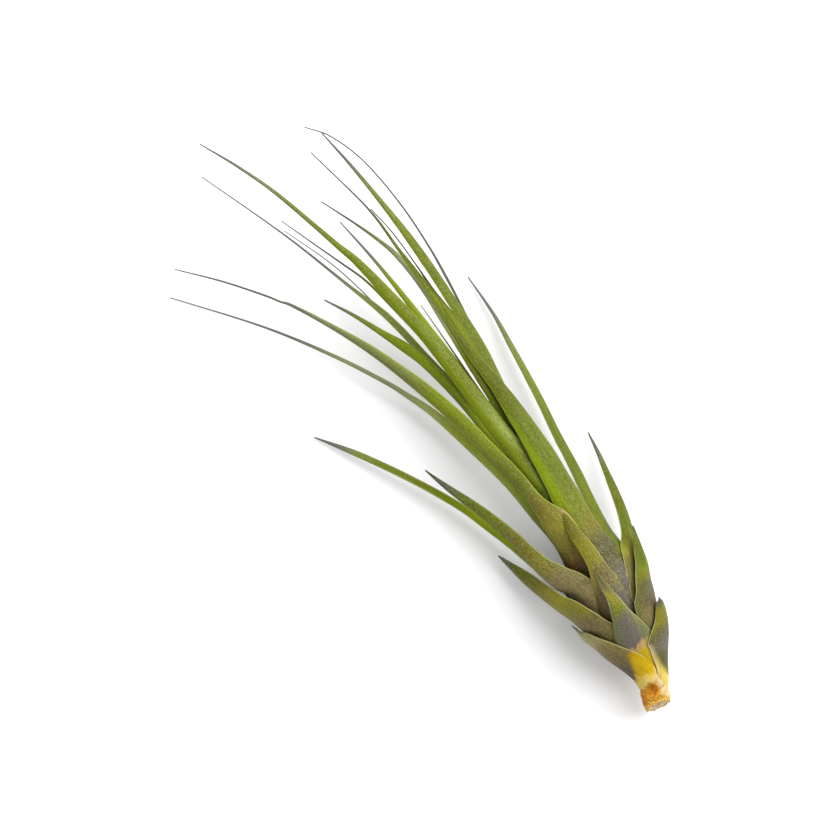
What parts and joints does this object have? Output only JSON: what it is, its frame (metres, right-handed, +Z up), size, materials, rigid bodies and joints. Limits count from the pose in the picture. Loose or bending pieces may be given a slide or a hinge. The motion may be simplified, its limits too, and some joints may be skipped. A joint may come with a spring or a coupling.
{
  "type": "air plant",
  "caption": "Stemmed air plant laid on its side: a short cut stem stub, clasping purple-grey leaf sheaths and long narrow green blades that fan out and taper to fine grey tips.",
  "frame": {"origin": "centre of the bounding box at the surface the plant lies on", "axes": "+Y along the plant from the cut stub to the longest leaf tips, +Z up from the surface it lies on"},
  "size_m": [0.067, 0.182, 0.0244],
  "materials": {
    "leaf": "matte living leaf with fine grey scales",
    "outer_leaf": "matte purple-grey sheath running to olive green",
    "stem": "fibrous, cut end"
  },
  "bodies": {
    "root": {"stem": "stem", "leaf_base_right": "outer_leaf", "leaf_base_left": "outer_leaf", "leaf_diamond": "outer_leaf", "leaf_under_low": "outer_leaf", "leaf_short_right": "outer_leaf", "leaf_short_left": "outer_leaf", "leaf_right_low": "outer_leaf", "leaf_under_left": "outer_leaf", "leaf_front_pointed": "outer_leaf", "leaf_left_long_low": "outer_leaf", "leaf_under_right": "outer_leaf", "leaf_left_purple": "outer_leaf", "leaf_right_long": "outer_leaf", "leaf_left_wide": "leaf", "leaf_left_far": "leaf", "leaf_right_front": "leaf", "leaf_yellow": "leaf", "leaf_right_wide": "leaf", "leaf_centre": "leaf", "leaf_grey_green": "leaf", "leaf_arched": "leaf", "leaf_gap_right": "leaf", "leaf_behind_centre": "leaf", "leaf_thin_right": "leaf", "leaf_heart_upper": "leaf", "leaf_heart_left": "leaf", "leaf_heart_dark": "leaf"}
  },
  "joints": []
}
